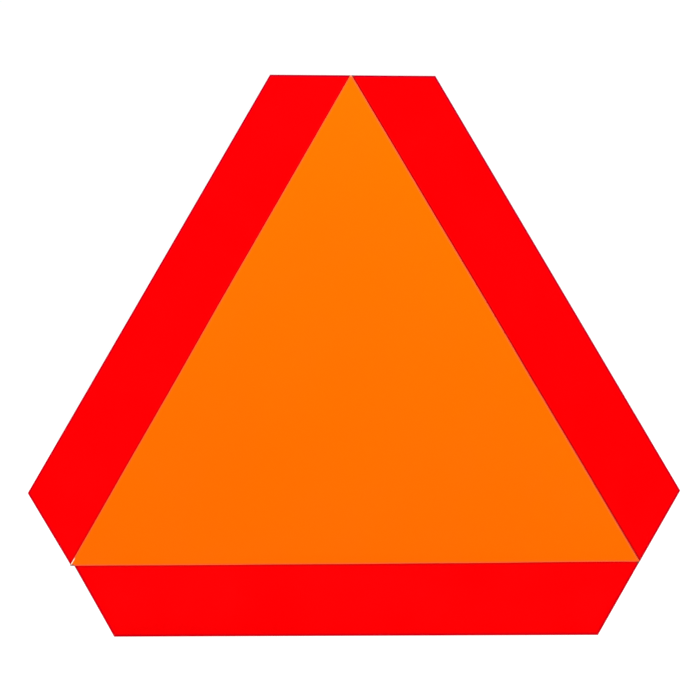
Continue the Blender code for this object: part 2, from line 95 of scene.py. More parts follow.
def value_of(tree, socket, value):
    """Links a socket, or sets a number or a colour."""
    if isinstance(value, bpy.types.NodeSocket):
        tree.links.new(value, socket)
    elif isinstance(value, (int, float)):
        if hasattr(socket.default_value, "__len__"):
            socket.default_value = (value,) * 3 if len(socket.default_value) == 3 else (value, value, value, 1.0)
        else:
            socket.default_value = value
    else:
        value = tuple(value)
        socket.default_value = value + (1.0,) if len(value) == 3 and len(socket.default_value) == 4 else value


def maths(tree, operation, a, b=None, clamp=False):
    node = tree.nodes.new("ShaderNodeMath")
    node.operation = operation
    node.use_clamp = clamp
    value_of(tree, node.inputs[0], a)
    if b is not None:
        value_of(tree, node.inputs[1], b)
    return node.outputs[0]


def remap(tree, value, low, high, to_low=0.0, to_high=1.0, smooth=False):
    node = tree.nodes.new("ShaderNodeMapRange")
    node.clamp = True
    if smooth:
        node.interpolation_type = "SMOOTHSTEP"
    value_of(tree, node.inputs["Value"], value)
    for key, number in (("From Min", low), ("From Max", high), ("To Min", to_low), ("To Max", to_high)):
        value_of(tree, node.inputs[key], number)
    return node.outputs["Result"]


def mixed(tree, factor, a, b):
    node = tree.nodes.new("ShaderNodeMix")
    node.data_type = "RGBA"
    value_of(tree, node.inputs["Factor"], factor)
    value_of(tree, node.inputs[6], a)
    value_of(tree, node.inputs[7], b)
    return node.outputs[2]


def place(tree, stretch=(1.0, 1.0, 1.0), turn=(0.0, 0.0, 0.0)):
    """Position in the object's own space, stretched, so a pattern keeps to the piece when it moves."""
    coordinates = tree.nodes.new("ShaderNodeTexCoord")
    mapping = tree.nodes.new("ShaderNodeMapping")
    tree.links.new(coordinates.outputs["Object"], mapping.inputs["Vector"])
    mapping.inputs["Scale"].default_value = stretch
    mapping.inputs["Rotation"].default_value = turn
    return mapping.outputs["Vector"]


def cloud(tree, vector, scale, detail=3.0, roughness=0.5, distortion=0.0):
    node = tree.nodes.new("ShaderNodeTexNoise")
    tree.links.new(vector, node.inputs["Vector"])
    node.inputs["Scale"].default_value = scale
    node.inputs["Detail"].default_value = detail
    node.inputs["Roughness"].default_value = roughness
    node.inputs["Distortion"].default_value = distortion
    return node.outputs["Fac"]


def cells(tree, vector, scale, feature="F1"):
    node = tree.nodes.new("ShaderNodeTexVoronoi")
    node.feature = feature
    tree.links.new(vector, node.inputs["Vector"])
    node.inputs["Scale"].default_value = scale
    return node.outputs["Distance"]


def attribute(tree, name):
    node = tree.nodes.new("ShaderNodeAttribute")
    node.attribute_name = name
    return node.outputs["Fac"]


def bumped(tree, height, strength, distance, below=None):
    node = tree.nodes.new("ShaderNodeBump")
    node.inputs["Strength"].default_value = strength
    node.inputs["Distance"].default_value = distance
    tree.links.new(height, node.inputs["Height"])
    if below is not None:
        tree.links.new(below, node.inputs["Normal"])
    return node.outputs["Normal"]


def facing_y(tree):
    """1 where the surface faces along Y, 0 on a cut edge."""
    geometry = tree.nodes.new("ShaderNodeNewGeometry")
    split = tree.nodes.new("ShaderNodeSeparateXYZ")
    tree.links.new(geometry.outputs["True Normal"], split.inputs[0])
    return maths(tree, "ABSOLUTE", split.outputs["Y"])


def along(tree, vector):
    split = tree.nodes.new("ShaderNodeSeparateXYZ")
    tree.links.new(vector, split.inputs[0])
    return split.outputs


# ================================================================ emblem outline: the frame's corners, and how the sheet and films were made up
inner_height = TOTAL - BORDER
side = math.radians(60)
for _ in range(20):
    half_base = (WIDTH - BORDER / math.sin(side)) / 2
    side = math.atan2(inner_height, half_base)
blunt_top = BORDER / math.sin(side)
blunt_rise = BORDER + BORDER / (2 * math.cos(side))
blunt_run = BORDER / math.tan(side)

TOP_CUT = 0.7  # degrees that the top edge was sheared out of square, falling to the right
FILM_TURN = 0.2  # degrees that the orange triangle was laid out of square, its right end high
TRIM = 0.6 * MM  # the orange triangle is this much taller than its window, and is cut off with the top edge
STRIP_CUT = 2.0 * MM  # the bottom strip, and the sheet under it, is cut this far in at its lower left
STRIP_START = 3.0 * MM  # the bottom strip starts this far from the orange tip
TIP_SHORT = 0.8 * MM  # the left strip stops this far from the orange tip


def corner(x, height):
    """A corner of the drawing, metres from the middle and above the bottom edge, as (x, z) in the frame."""
    return Vector((x, BASE + height))


def crossing(a, b, c, d):
    """Where the line through a and b meets the line through c and d."""
    r, s = b - a, d - c
    t = ((c.x - a.x) * s.y - (c.y - a.y) * s.x) / (r.x * s.y - r.y * s.x)
    return a + r * t


LEFT_UPPER, RIGHT_UPPER = corner(-half_base - blunt_top / 2, blunt_rise), corner(half_base + blunt_top / 2, blunt_rise)
LEFT_LOWER, RIGHT_LOWER = corner(-half_base + blunt_run + STRIP_CUT, 0.0), corner(half_base - blunt_run, 0.0)
top_middle = corner(0.0, TOTAL)
top_ahead = top_middle + Vector((math.cos(math.radians(TOP_CUT)), -math.sin(math.radians(TOP_CUT))))
TOP_LEFT = crossing(LEFT_UPPER, corner(-blunt_top, TOTAL), top_middle, top_ahead)
TOP_RIGHT = crossing(RIGHT_UPPER, corner(blunt_top, TOTAL), top_middle, top_ahead)

window = [corner(-half_base, BORDER), corner(half_base, BORDER), corner(0.0, TOTAL + TRIM)]
window_middle = (window[0] + window[1] + window[2]) / 3
window_turn = Matrix.Rotation(math.radians(FILM_TURN), 2)
ORANGE_LEFT, ORANGE_RIGHT, SEAM_APEX = [window_middle + window_turn @ (p - window_middle) for p in window]
apex_left = crossing(SEAM_APEX, ORANGE_LEFT, TOP_LEFT, TOP_RIGHT)
apex_right = crossing(SEAM_APEX, ORANGE_RIGHT, TOP_LEFT, TOP_RIGHT)
LEFT_TIP = ORANGE_LEFT + (SEAM_APEX - ORANGE_LEFT).normalized() * TIP_SHORT
BOTTOM_LEFT_TIP = ORANGE_LEFT + (ORANGE_RIGHT - ORANGE_LEFT).normalized() * STRIP_START
RIGHT_TIP = ORANGE_RIGHT + (RIGHT_UPPER - RIGHT_LOWER).normalized() * 0.2 * MM
BOTTOM_RIGHT_TIP = ORANGE_RIGHT + Vector((-0.1 * MM, 0.0))


def wander(seed, heights=(0.16, 0.06, 0.05, 0.05, 0.04, 0.03, 0.03)):
    """How far a hand-laid seam strays from its straight line, in metres, at a share t of its length: a few waves, still at both ends."""
    source = random.Random(seed)
    waves = [source.choice((-1, 1)) * source.uniform(0.6, 1.0) * height * MM for height in heights]

    def at(t):
        return sum(height * math.sin((k + 1) * math.pi * t) for k, height in enumerate(waves))

    return at


SEAMS = {"left": wander(1), "right": wander(2), "bottom": wander(3)}


# ================================================================ materials
def film_rims(tree, seam_reach, outer_reach):
    """How strongly the rim by a seam and the rim by the outer edge show, from the distances (mm) kept on the film's points."""
    seam = remap(tree, attribute(tree, "seam_distance"), seam_reach[0], seam_reach[1], 1.0, 0.0, smooth=True)
    seam = maths(tree, "MULTIPLY", seam, attribute(tree, "seam_strength"))
    outer = remap(tree, attribute(tree, "outer_distance"), outer_reach[0], outer_reach[1], 1.0, 0.0, smooth=True)
    return seam, outer


def near(tree, spot, reach, fade):
    """1 within a reach (metres) of a spot in the XZ plane, fading out."""
    x, y, z = along(tree, place(tree))
    dx = maths(tree, "SUBTRACT", x, spot.x)
    dz = maths(tree, "SUBTRACT", z, spot.y)
    distance = maths(tree, "SQRT", maths(tree, "ADD", maths(tree, "MULTIPLY", dx, dx), maths(tree, "MULTIPLY", dz, dz)))
    return remap(tree, distance, reach, reach + fade, 1.0, 0.0, smooth=True)


def beside_value(tree, a, b):
    """Distance in metres from the line through a and b in the XZ plane, without sign."""
    x, y, z = along(tree, place(tree))
    ahead = (b - a).normalized()
    across = maths(tree, "ADD", maths(tree, "MULTIPLY", maths(tree, "SUBTRACT", x, a.x), -ahead.y), maths(tree, "MULTIPLY", maths(tree, "SUBTRACT", z, a.y), ahead.x))
    return maths(tree, "ABSOLUTE", across)


ORANGE_G = 0.139  # the dye's green share, which sets its hue


def orange_film():
    material, tree, shader = new_material("fluorescent_orange_film")
    here = place(tree)
    broad = cloud(tree, here, 9.0, 2.0, 0.4)
    fine = cloud(tree, here, 900.0, 2.0, 0.5)
    dye = mixed(tree, remap(tree, broad, 0.35, 0.65), (1.0, ORANGE_G * 0.986, 0.0), (1.0, ORANGE_G * 1.014, 0.0))
    dye = mixed(tree, remap(tree, fine, 0.3, 0.7, 0.0, 0.5), dye, (1.0, ORANGE_G, 0.0))
    seam, outer = film_rims(tree, (0.15, 1.25), (0.1, 0.8))
    # partly the film's pale cut edge, partly painted highlight: a pale pinkish line along the seams where the raised
    # cut edge catches light
    colour = mixed(tree, seam, dye, (1.0, 0.120, 0.030))
    colour = mixed(tree, maths(tree, "MULTIPLY", outer, 0.5), colour, (1.0, 0.35, 0.20))
    # lower left tip: the clear top layer has lifted off the cut edge, and painted shade lies under the tip, where the
    # sheet's edge is in shade
    bare = maths(tree, "SUBTRACT", 1.0, remap(tree, beside_value(tree, ORANGE_LEFT, SEAM_APEX), 0.45 * MM, 0.75 * MM, 0.0, 1.0))
    bare = maths(tree, "MULTIPLY", bare, near(tree, ORANGE_LEFT, 4.6 * MM, 1.8 * MM))
    colour = mixed(tree, bare, colour, (1.0, 0.80, 0.62))
    # painted shade: a dark line along the tip's lower edge
    painted_tip_shade = maths(tree, "SUBTRACT", 1.0, remap(tree, beside_value(tree, ORANGE_RIGHT, ORANGE_LEFT), 0.55 * MM, 1.05 * MM, 0.0, 1.0))
    painted_tip_shade = maths(tree, "MULTIPLY", painted_tip_shade, near(tree, ORANGE_LEFT, 2.2 * MM, 1.2 * MM))
    colour = mixed(tree, maths(tree, "MULTIPLY", painted_tip_shade, 0.8), colour, (0.10, 0.06, 0.06))
    pale = near(tree, (apex_left + apex_right) / 2, 0.5 * MM, 1.1 * MM)
    colour = mixed(tree, maths(tree, "MULTIPLY", pale, 0.45), colour, (1.0, 0.34, 0.22))
    cut = maths(tree, "SUBTRACT", 1.0, facing_y(tree), clamp=True)
    colour = mixed(tree, cut, colour, (1.0, 0.36, 0.20))
    value_of(tree, shader.inputs["Base Color"], colour)
    smudge = cloud(tree, here, 22.0, 4.0, 0.6, 0.6)
    value_of(tree, shader.inputs["Roughness"], remap(tree, smudge, 0.3, 0.75, 0.20, 0.30))
    shader.inputs["Specular IOR Level"].default_value = 0.0
    shader.inputs["Coat Weight"].default_value = 0.8
    value_of(tree, shader.inputs["Coat Roughness"], remap(tree, smudge, 0.3, 0.75, 0.05, 0.11))
    # partly the dye's real fluorescence, partly painted glow: the film emits a little of its own colour, which keeps it
    # bright in shade
    value_of(tree, shader.inputs["Emission Color"], colour)
    shader.inputs["Emission Strength"].default_value = 0.10
    peel = bumped(tree, cloud(tree, here, 420.0, 3.0, 0.55), 0.10, 0.00003)
    sag = bumped(tree, cloud(tree, here, 14.0, 1.0, 0.4), 0.10, 0.0006, peel)
    value_of(tree, shader.inputs["Normal"], sag)
    return material


def red_film():
    material, tree, shader = new_material("red_retroreflective_film")
    here = place(tree)
    broad = cloud(tree, here, 11.0, 2.0, 0.4)
    beads = cells(tree, here, 2600.0)
    base = mixed(tree, remap(tree, broad, 0.35, 0.65), (1.0, 0.0, 0.0011), (1.0, 0.0, 0.0007))
    base = mixed(tree, remap(tree, beads, 0.15, 0.6, 0.0, 0.35), base, (0.94, 0.0, 0.0012))
    seam, outer = film_rims(tree, (0.30, 2.1), (0.30, 2.2))
    # painted shade: the outer rim is darkened as its rounded edge turns away from the light, and the seam rim as
    # painted shadow of the orange film's raised edge; both are painted weaker towards the foot of the emblem
    lift = remap(tree, along(tree, here)["Z"], up(0.0), up(355.0), 0.62, 1.0)
    base = mixed(tree, maths(tree, "MULTIPLY", outer, lift), base, (0.35, 0.0, 0.009))
    base = mixed(tree, maths(tree, "MULTIPLY", seam, lift), base, (0.40, 0.002, 0.003))
    # specks of dirt where three films meet
    dirt = maths(tree, "MAXIMUM", near(tree, apex_left, 0.55 * MM, 1.0 * MM), near(tree, apex_right + Vector((0.0005, 0)), 0.75 * MM, 1.1 * MM))
    dirt = maths(tree, "MAXIMUM", dirt, near(tree, RIGHT_TIP + Vector((-0.0012, -0.0007)), 0.35 * MM, 0.8 * MM))
    base = mixed(tree, maths(tree, "MULTIPLY", dirt, 0.8), base, (0.10, 0.05, 0.04))
    cut = maths(tree, "SUBTRACT", 1.0, facing_y(tree), clamp=True)
    base = mixed(tree, cut, base, (0.45, 0.004, 0.008))
    value_of(tree, shader.inputs["Base Color"], base)
    smudge = cloud(tree, here, 26.0, 4.0, 0.6, 0.5)
    value_of(tree, shader.inputs["Roughness"], remap(tree, smudge, 0.3, 0.75, 0.18, 0.28))
    shader.inputs["Specular IOR Level"].default_value = 0.0
    shader.inputs["Coat Weight"].default_value = 1.0
    value_of(tree, shader.inputs["Coat Roughness"], remap(tree, smudge, 0.3, 0.75, 0.035, 0.085))
    # painted glow: the red film emits a little of its own colour, which keeps it bright in shade
    value_of(tree, shader.inputs["Emission Color"], base)
    shader.inputs["Emission Strength"].default_value = 0.04
    bead_bump = bumped(tree, beads, 0.12, 0.00004)
    peel = bumped(tree, cloud(tree, here, 300.0, 3.0, 0.5), 0.06, 0.00004, bead_bump)
    value_of(tree, shader.inputs["Normal"], peel)
    coat = tree.nodes.new("ShaderNodeBump")
    coat.inputs["Strength"].default_value = 0.06
    coat.inputs["Distance"].default_value = 0.0005
    tree.links.new(cloud(tree, here, 16.0, 1.0, 0.4), coat.inputs["Height"])
    value_of(tree, shader.inputs["Coat Normal"], coat.outputs["Normal"])
    return material


def mill_aluminium():
    material, tree, shader = new_material("mill_aluminium_sheet")
    here = place(tree)
    rolled = place(tree, (3.0, 1.0, 1500.0))
    lines = cloud(tree, rolled, 1.0, 4.0, 0.6)
    faint = cloud(tree, place(tree, (1.2, 1.0, 260.0)), 1.0, 4.0, 0.6)
    stain = cloud(tree, here, 10.0, 5.0, 0.62, 1.2)
    colour = mixed(tree, remap(tree, lines, 0.32, 0.68), (0.75, 0.755, 0.765), (0.835, 0.84, 0.845))
    colour = mixed(tree, remap(tree, stain, 0.58, 0.80, 0.0, 0.25), colour, (0.66, 0.665, 0.67))
    edge = maths(tree, "SUBTRACT", 1.0, facing_y(tree), clamp=True)
    colour = mixed(tree, edge, colour, (0.86, 0.86, 0.865))
    value_of(tree, shader.inputs["Base Color"], colour)
    shader.inputs["Metallic"].default_value = 1.0
    rough = maths(tree, "ADD", remap(tree, faint, 0.3, 0.7, 0.25, 0.37), remap(tree, stain, 0.5, 0.8, 0.0, 0.16))
    # hairline scratches in three directions
    scratch = None
    for turn, stretch in ((0.5, (3.0, 1.0, 700.0)), (-0.9, (4.0, 1.0, 900.0)), (1.35, (2.5, 1.0, 650.0))):
        line = cloud(tree, place(tree, stretch, (0.0, turn, 0.0)), 1.0, 1.0, 0.3)
        line = remap(tree, line, 0.735, 0.775, 0.0, 1.0)
        scratch = line if scratch is None else maths(tree, "MAXIMUM", scratch, line)
    rough = maths(tree, "ADD", rough, maths(tree, "MULTIPLY", scratch, 0.12))
    value_of(tree, shader.inputs["Roughness"], rough)
    shader.inputs["Anisotropic"].default_value = 0.35
    normal = bumped(tree, lines, 0.10, 0.00003)
    normal = bumped(tree, scratch, 0.25, 0.00004, normal)
    normal = bumped(tree, cloud(tree, here, 7.0, 1.0, 0.4), 0.12, 0.0015, normal)
    value_of(tree, shader.inputs["Normal"], normal)
    return material


def powder_coat(name, rubs=()):
    """Black powder coat with a fine skin, dust, edge wear and rubbed bands.

    rubs: (centre Z, half height, half width in X, side) of bands where the mating part has worn down to bright steel. side is the sign of
    the Y direction that the worn face looks to.
    """
    material, tree, shader = new_material(name)
    here = place(tree)
    x, y, z = along(tree, here)
    skin = cloud(tree, here, 650.0, 2.0, 0.55)
    broad = cloud(tree, here, 40.0, 4.0, 0.6)
    colour = mixed(tree, remap(tree, broad, 0.3, 0.7), (0.018, 0.018, 0.019), (0.030, 0.030, 0.031))
    dust = maths(tree, "MULTIPLY", remap(tree, cloud(tree, here, 90.0, 5.0, 0.7), 0.52, 0.8), 0.22)
    colour = mixed(tree, dust, colour, (0.11, 0.105, 0.10))
    # wear on edges: the soft normal of the Bevel node parts from the true one there
    soft = tree.nodes.new("ShaderNodeBevel")
    soft.samples = 4
    soft.inputs["Radius"].default_value = 0.0007
    geometry = tree.nodes.new("ShaderNodeNewGeometry")
    dot = tree.nodes.new("ShaderNodeVectorMath")
    dot.operation = "DOT_PRODUCT"
    tree.links.new(soft.outputs[0], dot.inputs[0])
    tree.links.new(geometry.outputs["Normal"], dot.inputs[1])
    edge = remap(tree, dot.outputs["Value"], 0.985, 0.90)
    chips = remap(tree, cloud(tree, here, 230.0, 5.0, 0.7), 0.52, 0.62)
    worn = maths(tree, "MULTIPLY", edge, chips)
    for centre, half_height, half_width, side in rubs:
        band = maths(tree, "MULTIPLY", remap(tree, maths(tree, "ABSOLUTE", maths(tree, "SUBTRACT", z, centre)), half_height, half_height * 0.6), remap(tree, maths(tree, "ABSOLUTE", x), half_width, half_width * 0.93))
        split = tree.nodes.new("ShaderNodeSeparateXYZ")
        tree.links.new(geometry.outputs["True Normal"], split.inputs[0])
        face = remap(tree, maths(tree, "MULTIPLY", split.outputs["Y"], float(side)), 0.6, 0.9)
        drag = cloud(tree, place(tree, (1400.0, 1.0, 16.0)), 1.0, 5.0, 0.75)
        patch = cloud(tree, place(tree, (1.0, 1.0, 0.6)), 75.0, 5.0, 0.62, 0.4)
        rub = remap(tree, maths(tree, "ADD", maths(tree, "MULTIPLY", patch, 0.62), maths(tree, "MULTIPLY", drag, 0.38)), 0.515, 0.60)
        worn = maths(tree, "MAXIMUM", worn, maths(tree, "MULTIPLY", maths(tree, "MULTIPLY", band, face), rub))
    colour = mixed(tree, worn, colour, (0.52, 0.515, 0.51))
    value_of(tree, shader.inputs["Base Color"], colour)
    value_of(tree, shader.inputs["Metallic"], worn)
    rough = maths(tree, "ADD", remap(tree, skin, 0.3, 0.7, 0.40, 0.52), maths(tree, "MULTIPLY", dust, 0.9))
    value_of(tree, shader.inputs["Roughness"], maths(tree, "SUBTRACT", rough, maths(tree, "MULTIPLY", worn, 0.12)))
    normal = bumped(tree, skin, 0.45, 0.00010)
    normal = bumped(tree, maths(tree, "SUBTRACT", 1.0, worn), 0.5, 0.00006, normal)
    value_of(tree, shader.inputs["Normal"], normal)
    return material


def zinc_plate(name="bright_zinc", tint=(0.70, 0.715, 0.735)):
    material, tree, shader = new_material(name)
    here = place(tree)
    cloudy = cloud(tree, here, 160.0, 4.0, 0.6, 0.8)
    spangle = cells(tree, here, 700.0)
    colour = mixed(tree, remap(tree, cloudy, 0.35, 0.7), tint, (0.60, 0.605, 0.585))
    colour = mixed(tree, remap(tree, spangle, 0.2, 0.7, 0.0, 0.3), colour, (0.78, 0.785, 0.79))
    chalk = remap(tree, cloud(tree, here, 420.0, 5.0, 0.7), 0.60, 0.74)
    colour = mixed(tree, maths(tree, "MULTIPLY", chalk, 0.5), colour, (0.62, 0.62, 0.60))
    value_of(tree, shader.inputs["Base Color"], colour)
    value_of(tree, shader.inputs["Metallic"], maths(tree, "SUBTRACT", 1.0, maths(tree, "MULTIPLY", chalk, 0.35)))
    value_of(tree, shader.inputs["Roughness"], maths(tree, "ADD", remap(tree, cloudy, 0.3, 0.7, 0.24, 0.36), maths(tree, "MULTIPLY", chalk, 0.25)))
    value_of(tree, shader.inputs["Normal"], bumped(tree, cloud(tree, here, 1500.0, 3.0, 0.6), 0.15, 0.00003))
    return material


def nylon():
    material, tree, shader = new_material("nylon_insert")
    here = place(tree)
    value_of(tree, shader.inputs["Base Color"], mixed(tree, cloud(tree, here, 600.0, 3.0, 0.6), (0.60, 0.62, 0.58), (0.74, 0.75, 0.70)))
    shader.inputs["Roughness"].default_value = 0.45
    shader.inputs["Subsurface Weight"].default_value = 0.2
    shader.inputs["Subsurface Radius"].default_value = (0.0006, 0.0006, 0.0005)
    value_of(tree, shader.inputs["Normal"], bumped(tree, cloud(tree, here, 2200.0, 2.0, 0.5), 0.2, 0.00003))
    return material


ORANGE, RED = orange_film(), red_film()
ALUMINIUM, ZINC, NYLON = mill_aluminium(), zinc_plate(), nylon()
POCKET_MID = (pocket_low.z + pocket_high.z) / 2
POCKET_HALF = (pocket_high.z - pocket_low.z) / 2
SPADE_COAT = powder_coat(
    "black_powder_coat_bracket",
    rubs=((POCKET_MID + 0.004, POCKET_HALF + 0.012, 0.023, 1), (POCKET_MID + 0.004, POCKET_HALF + 0.012, 0.023, -1)),
)
SOCKET_COAT = powder_coat("black_powder_coat_socket", rubs=((pocket_high.z, 0.010, 0.025, -1),))


# ================================================================ mesh helpers
def publish(name, mesh, materials):
    mesh.name = name
    mesh.materials.clear()
    for material in materials:
        mesh.materials.append(material)
    obj = bpy.data.objects.new(name, mesh)
    bpy.context.scene.collection.objects.link(obj)
    return obj


def from_bmesh(name, work, materials):
    mesh = bpy.data.meshes.new(name)
    work.normal_update()
    work.to_mesh(mesh)
    work.free()
    return publish(name, mesh, materials)


def stands_for(obj, node, body):
    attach(obj, body)
    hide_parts(node)
    return obj


def miter(points):
    """Inward unit-depth direction at each corner of a counter-clockwise outline (clockwise holes give outwards from the hole)."""
    count = len(points)
    out = []
    for i in range(count):
        p, before, after = points[i], points[i - 1], points[(i + 1) % count]
        e1, e2 = (p - before).normalized(), (after - p).normalized()
        n1, n2 = Vector((-e1.y, e1.x)), Vector((-e2.y, e2.x))
        denominator = max(0.15, 1 + n1.dot(n2))
        out.append((n1 + n2) / denominator)
    return out


def arc_corner(points, radius, steps=5):
    """Rounds every corner of an outline with one radius, or one radius for each corner."""
    count = len(points)
    radii = [radius] * count if isinstance(radius, (int, float)) else radius
    out = []
    for i, corner in enumerate(points):
        p = Vector(corner)
        if radii[i] <= 0:
            out.append(p)
            continue
        back = (Vector(points[i - 1]) - p).normalized()
        ahead = (Vector(points[(i + 1) % count]) - p).normalized()
        half = back.angle(ahead) / 2
        centre = p + (back + ahead).normalized() * (radii[i] / math.sin(half))
        reach = radii[i] / math.tan(half)
        start, end = p + back * reach - centre, p + ahead * reach - centre
        a0 = math.atan2(start.y, start.x)
        turn = (math.atan2(end.y, end.x) - a0 + math.pi) % (2 * math.pi) - math.pi
        for k in range(steps + 1):
            a = a0 + turn * k / steps
            out.append(centre + radii[i] * Vector((math.cos(a), math.sin(a))))
    return out


def ring_points(x, z, radius, count=48, clockwise=False):
    sign = -1 if clockwise else 1
    return [Vector((x + radius * math.cos(sign * 2 * math.pi * k / count), z + radius * math.sin(sign * 2 * math.pi * k / count))) for k in range(count)]


def sheet_rows(work, loop, y_front, y_back, bevel, normals, steps=3):
    """The rounded cut edge along one loop, from the back face round to the front face, as rows of points."""
    directions = miter(loop)
    rings = []
    for k in range(steps + 1):
        a = math.pi / 2 * k / steps
        rings.append((bevel * (1 - math.sin(a)), y_back - bevel * (1 - math.cos(a)), a))
    for k in range(steps + 1):
        a = math.pi / 2 * k / steps
        rings.append((bevel * (1 - math.cos(a)), y_front + bevel * (1 - math.sin(a)), math.pi / 2 + a))
    made = []
    for inset_by, y, tilt in rings:
        row = []
        for p, direction in zip(loop, directions):
            q = p + direction * inset_by
            vert = work.verts.new((q.x, y, q.y))
            side = -direction.normalized()
            normals[vert] = Vector((side.x * math.sin(tilt), math.cos(tilt), side.y * math.sin(tilt)))
            row.append(vert)
        made.append(row)
    count = len(loop)
    for lower, upper in zip(made, made[1:]):
        for i in range(count):
            j = (i + 1) % count
            work.faces.new((lower[i], upper[i], upper[j], lower[j]))
    return made


def sheet_finish(name, work, normals, materials):
    bmesh.ops.recalc_face_normals(work, faces=work.faces)
    work.verts.index_update()
    work.verts.ensure_lookup_table()
    ordered = [normals[v] for v in work.verts]
    obj = from_bmesh(name, work, materials)
    obj.data.shade_smooth()
    obj.data.normals_split_custom_set_from_vertices(ordered)
    return obj


def layered_sheet(name, loops, y_front, y_back, bevel, materials):
    """A flat sheet in the XZ plane with rounded cut edges, from an outline (counter-clockwise seen from the front) and holes (clockwise)."""
    work = bmesh.new()
    normals = {}
    caps = {"back": [], "front": []}
    for loop in loops:
        made = sheet_rows(work, loop, y_front, y_back, bevel, normals)
        caps["back"].append(made[0])
        caps["front"].append(made[-1])
    for side in ("back", "front"):
        edges = []
        for row in caps[side]:
            for i in range(len(row)):
                edges.append(work.edges.get((row[i], row[(i + 1) % len(row)])))
        bmesh.ops.triangle_fill(work, use_beauty=True, use_dissolve=False, edges=edges, normal=(0, -1 if side == "front" else 1, 0))
    return sheet_finish(name, work, normals, materials)


def distance_to(points, segments):
    """Least distance of each point (n, 2) to a set of segments (m, 4)."""
    best = np.full(len(points), 1.0)
    for ax, az, bx, bz in segments:
        ab = np.array([bx - ax, bz - az])
        rel = points - np.array([ax, az])
        t = np.clip((rel @ ab) / (ab @ ab), 0, 1)
        gap = np.linalg.norm(rel - t[:, None] * ab, axis=1)
        best = np.minimum(best, gap)
    return best


def film_sheet(name, loop, kinds, strengths, y_front, y_back, bevel, materials, insets):
    """A film: like a sheet, with inner rings of points on its front that keep the distance to the seams and to the outer edge.

    kinds: for each point of the loop, "seam" or "outer", for the side that starts there. insets: metres.
    """
    work = bmesh.new()
    seam_layer = work.verts.layers.float.new("seam_distance")
    outer_layer = work.verts.layers.float.new("outer_distance")
    strength_layer = work.verts.layers.float.new("seam_strength")
    normals = {}
    made = sheet_rows(work, loop, y_front, y_back, bevel, normals)
    work.faces.new(made[0])
    front = made[-1]
    count = len(loop)
    sides = {"seam": [], "outer": []}
    for i in range(count):
        a, b = loop[i], loop[(i + 1) % count]
        sides[kinds[i]].append((a.x, a.y, b.x, b.y))
    everything = sides["seam"] + sides["outer"]
    directions = miter(loop)
    flat = [Vector((v.co.x, v.co.z)) for v in front]
    for inset_by in insets:
        candidates = [p + d * inset_by for p, d in zip(loop, directions)]
        table = np.array([(q.x, q.y) for q in candidates])
        keep = distance_to(table, everything) > inset_by * 0.995
        last = None
        for q, good in zip(candidates, keep):
            if good and (last is None or (q - last).length > 0.6 * MM):
                flat.append(q)
                last = q
    ring = [(i, (i + 1) % count) for i in range(count)]
    result = delaunay_2d_cdt(flat, ring, [list(range(count))], 1, 1e-9)
    coordinates, triangles, originals = result[0], result[2], result[3]
    verts = []
    for co, origin in zip(coordinates, originals):
        ring_index = [o for o in origin if o < count]
        if ring_index:
            verts.append(front[ring_index[0]])
        else:
            vert = work.verts.new((co.x, y_front, co.y))
            normals[vert] = Vector((0, -1, 0))
            verts.append(vert)
    for triangle in triangles:
        corner = [verts[i] for i in triangle]
        if len(set(corner)) == 3 and not work.faces.get(corner):
            work.faces.new(corner)
    work.verts.index_update()
    work.verts.ensure_lookup_table()
    spots = np.array([(v.co.x, v.co.z) for v in work.verts])
    to_seam = distance_to(spots, sides["seam"]) if sides["seam"] else np.full(len(spots), 1.0)
    to_outer = distance_to(spots, sides["outer"]) if sides["outer"] else np.full(len(spots), 1.0)
    table = np.array([(p.x, p.y) for p in loop])
    seam_points = [i for i in range(count) if kinds[i] == "seam"]
    for v, s, o, spot in zip(work.verts, to_seam, to_outer, spots):
        v[seam_layer] = min(s / MM, 20.0)
        v[outer_layer] = min(o / MM, 20.0)
        if seam_points:
            nearest = seam_points[int(np.argmin(np.sum((table[seam_points] - spot) ** 2, axis=1)))]
            v[strength_layer] = strengths[nearest]
    return sheet_finish(name, work, normals, materials)


def prism(outline, axis, start, end):
    """A closed solid of an outline pushed along an axis. axis Y: the outline is (x, z). axis X: the outline is (y, z)."""
    work = bmesh.new()
    rows = []
    for level in (start, end):
        row = []
        for p in outline:
            co = (p[0], level, p[1]) if axis == "Y" else (level, p[0], p[1])
            row.append(work.verts.new(co))
        rows.append(row)
    count = len(outline)
    work.faces.new(rows[0])
    work.faces.new(rows[1])
    for i in range(count):
        j = (i + 1) % count
        work.faces.new((rows[0][i], rows[0][j], rows[1][j], rows[1][i]))
    bmesh.ops.recalc_face_normals(work, faces=work.faces)
    return from_bmesh("helper", work, [])


def cone_y(radius_start, radius_end, y_start, y_end, x, z, count=48):
    work = bmesh.new()
    rows = []
    for radius, y in ((radius_start, y_start), (radius_end, y_end)):
        rows.append([work.verts.new((p.x, y, p.y)) for p in ring_points(x, z, radius, count)])
    work.faces.new(rows[0])
    work.faces.new(rows[1])
    for i in range(count):
        j = (i + 1) % count
        work.faces.new((rows[0][i], rows[0][j], rows[1][j], rows[1][i]))
    bmesh.ops.recalc_face_normals(work, faces=work.faces)
    return from_bmesh("helper", work, [])


def settled(obj):
    """Makes the object's modifiers permanent."""
    bpy.context.view_layer.update()
    graph = bpy.context.evaluated_depsgraph_get()
    mesh = bpy.data.meshes.new_from_object(obj.evaluated_get(graph), preserve_all_data_layers=True, depsgraph=graph)
    obj.modifiers.clear()
    old = obj.data
    obj.data = mesh
    bpy.data.meshes.remove(old)
    return obj


def boolean(obj, others, operation):
    for other in others:
        modifier = obj.modifiers.new("boolean", "BOOLEAN")
        modifier.operation = operation
        modifier.solver = "EXACT"
        modifier.object = other
        settled(obj)
        bpy.data.objects.remove(other, do_unlink=True)
    return obj


